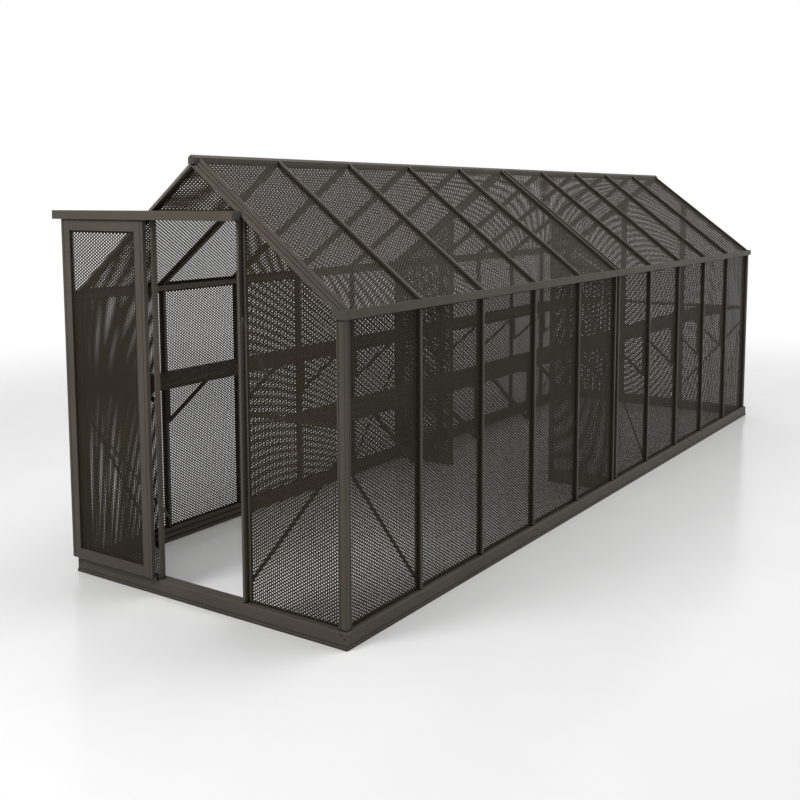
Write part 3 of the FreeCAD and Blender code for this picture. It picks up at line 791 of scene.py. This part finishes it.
def add_base_face(name, edge, side, start, end, turn=0.0):
    """Inner face of one base rail, swept along Y and then turned about Z."""
    face = add_object(name, swept_mesh(name, base_face_outline(edge, side), start, end))
    face.matrix_world = Matrix.Rotation(turn, 4, "Z")
    finish_piece(face, "frame", "bronze_coat")


def add_base_faces():
    """Two inner faces on each long side, one for each half rail, and one on each end."""
    low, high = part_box("base_front_rail")
    edge_x = high[0] - BASE_DEPTH
    edge_y = -low[1] - BASE_DEPTH
    for side, name in ((1, "base_face_right"), (-1, "base_face_left")):
        add_base_face(f"{name}_01", edge_x, side, -edge_y, 0.0)
        add_base_face(f"{name}_02", edge_x, side, 0.0, edge_y)
    for side, name in ((1, "base_face_front"), (-1, "base_face_rear")):
        add_base_face(name, edge_y, side, -edge_x, edge_x, -math.pi / 2)


def jamb_outline(points):
    """Section of a jamb as (x, y), inside the box of its solid."""
    side = math.copysign(1.0, points[0].x)
    inner = min(abs(point.x) for point in points)
    outer = max(abs(point.x) for point in points)
    front = min(point.y for point in points)
    back = max(point.y for point in points)
    flange = front + JAMB_DEPTH
    web = flange + JAMB_FLANGE
    section = [
        (inner, front),
        (inner + JAMB_FACE, front),
        (inner + JAMB_FACE, flange),
        (outer, flange),
        (outer, back),
        (outer - JAMB_FIN, back),
        (outer - JAMB_FIN, web),
        (inner, web),
    ]
    return [(side * x, y) for x, y in section]


def add_jamb(node, name):
    """Door jamb from the base up to the verge, whose slope cuts its top."""
    copy, solids = solids_of(node)
    faces = solids[0]
    points = [vert.co.copy() for face in faces for vert in face.verts]
    rising = [face for face in faces if face.normal.z > SLOPE_RISE]
    slope = max(rising, key=lambda face: face.calc_center_median().z)
    outline = jamb_outline(points)
    foot = min(point.z for point in points)
    corner, normal = slope.verts[0].co, slope.normal
    base = [(x, y, foot) for x, y in outline]
    top = []
    for x, y in outline:
        rise = (normal.x * (corner.x - x) + normal.y * (corner.y - y)) / normal.z
        top.append((x, y, corner.z + rise))
    copy.free()
    jamb = add_object(name, prism_mesh(name, base, top))
    round_edges(jamb)
    finish_piece(jamb, "frame", "bronze_coat", node)


def add_jambs():
    for node, name in JAMB_NODES.items():
        add_jamb(node, name)


def dress_nodes():
    """The record's material on every CAD node, and rounded edges on the bars."""
    for part in frame["record"]["subparts"]:
        node = frame["nodes"][part["node"]]
        node.data.materials.clear()
        node.data.materials.append(MATERIALS[part["material_slot"]])
        if part["node"] not in PLAIN_NODES and not node.hide_render:
            round_edges(node)


# Stage

def add_camera():
    """The photograph's camera, with the shift that its cropped frame needs."""
    data = bpy.data.cameras.new("camera")
    data.sensor_width = SENSOR_WIDTH
    data.lens = FOCAL_PIXELS / IMAGE_SIZE * SENSOR_WIDTH
    data.shift_x = (IMAGE_SIZE / 2 - PRINCIPAL_POINT[0]) / IMAGE_SIZE
    data.shift_y = (PRINCIPAL_POINT[1] - IMAGE_SIZE / 2) / IMAGE_SIZE
    data.clip_end = VIEW_END
    camera = add_object("camera", data)
    turn = Matrix.Rotation(CAMERA_YAW, 4, "Z")
    tilt = Matrix.Rotation(math.pi / 2 + CAMERA_PITCH, 4, "X")
    roll = Matrix.Rotation(CAMERA_ROLL, 4, "Z")
    camera.matrix_world = Matrix.Translation(CAMERA_PLACE) @ turn @ tilt @ roll
    bpy.context.scene.camera = camera


def seen_directly(nodes, links):
    """1 for camera, glossy and transmission rays, and 0 for the rays that light the object."""
    path = nodes.new("ShaderNodeLightPath")
    total = path.outputs["Is Camera Ray"]
    for name in ("Is Glossy Ray", "Is Transmission Ray"):
        larger = nodes.new("ShaderNodeMath")
        larger.operation = "MAXIMUM"
        links.new(total, larger.inputs[0])
        links.new(path.outputs[name], larger.inputs[1])
        total = larger.outputs["Value"]
    return total


def add_world():
    """Plain white surroundings, at full strength only where they are seen."""
    world = bpy.data.worlds.new("studio")
    world.use_nodes = True
    nodes, links = world.node_tree.nodes, world.node_tree.links
    ambient = nodes["Background"]
    ambient.inputs["Color"].default_value = WHITE
    ambient.inputs["Strength"].default_value = AMBIENT
    backdrop = nodes.new("ShaderNodeBackground")
    backdrop.inputs["Color"].default_value = WHITE
    backdrop.inputs["Strength"].default_value = BACKDROP
    mix = nodes.new("ShaderNodeMixShader")
    links.new(seen_directly(nodes, links), mix.inputs["Fac"])
    links.new(ambient.outputs["Background"], mix.inputs[1])
    links.new(backdrop.outputs["Background"], mix.inputs[2])
    links.new(mix.outputs["Shader"], nodes["World Output"].inputs["Surface"])
    bpy.context.scene.world = world


def floor_material():
    """Pale studio floor that fades into the white background away from the house."""
    floor = Surface("studio_floor")
    clouds = floor.noise(scale=1.5, detail=2.0)
    tone = floor.colours(clouds, dark=(0.76, 0.76, 0.76), light=(0.78, 0.78, 0.78))
    floor.link(tone, floor.shader.inputs["Base Color"])
    finish = floor.spread(floor.noise(scale=3.0), low=0.16, high=0.20)
    floor.link(finish, floor.shader.inputs["Roughness"])
    floor.set(Specular_IOR_Level=0.12)
    nodes, links = floor.nodes, floor.links
    glow = nodes.new("ShaderNodeEmission")
    glow.inputs["Strength"].default_value = BACKDROP
    reach = nodes.new("ShaderNodeVectorMath")
    reach.operation = "LENGTH"
    links.new(floor.place, reach.inputs[0])
    fade = nodes.new("ShaderNodeMapRange")
    fade.interpolation_type = "SMOOTHSTEP"
    fade.inputs["From Min"].default_value = FADE_START
    fade.inputs["From Max"].default_value = FADE_END
    links.new(reach.outputs["Value"], fade.inputs["Value"])
    share = nodes.new("ShaderNodeMath")
    share.operation = "MULTIPLY"
    links.new(fade.outputs["Result"], share.inputs[0])
    links.new(seen_directly(nodes, links), share.inputs[1])
    mix = nodes.new("ShaderNodeMixShader")
    links.new(share.outputs["Value"], mix.inputs["Fac"])
    links.new(floor.shader.outputs["BSDF"], mix.inputs[1])
    links.new(glow.outputs["Emission"], mix.inputs[2])
    links.new(mix.outputs["Shader"], nodes["Material Output"].inputs["Surface"])
    return floor.material


def add_floor():
    mesh = bpy.data.meshes.new("studio_floor")
    disc = bmesh.new()
    bmesh.ops.create_circle(disc, cap_ends=True, segments=FLOOR_STEPS, radius=FLOOR_RADIUS)
    disc.to_mesh(mesh)
    disc.free()
    mesh.materials.append(floor_material())
    floor = add_object("studio_floor", mesh)


def add_lamp(name, place, aim, size, watts):
    """Soft lamp: a disc of a size, or a rectangle of two sizes."""
    data = bpy.data.lights.new(name, "AREA")
    data.energy = watts
    if isinstance(size, tuple):
        data.shape = "RECTANGLE"
        data.size, data.size_y = size
    else:
        data.shape = "DISK"
        data.size = size
    lamp = add_object(name, data)
    lamp.location = place
    lamp.rotation_euler = (Vector(aim) - Vector(place)).to_track_quat("-Z", "Y").to_euler()
    lamp.visible_camera = False
    return lamp


def add_stage():
    add_camera()
    add_world()
    add_floor()
    key = add_lamp("key", KEY_PLACE, LIGHT_AIM, KEY_SIZE, KEY_WATTS)
    key.visible_glossy = False  # its disc would show in the floor from behind
    add_lamp("top", TOP_PLACE, LIGHT_AIM, TOP_SIZE, TOP_WATTS)
    add_lamp("inside", INSIDE_PLACE, INSIDE_AIM, INSIDE_SIZE, INSIDE_WATTS)
    add_lamp("side", SIDE_PLACE, SIDE_AIM, SIDE_SIZE, SIDE_WATTS)
    bpy.context.scene.view_settings.view_transform = "Standard"


add_stage()
add_sheets()
add_shelves()
add_jambs()
add_base_faces()
dress_nodes()
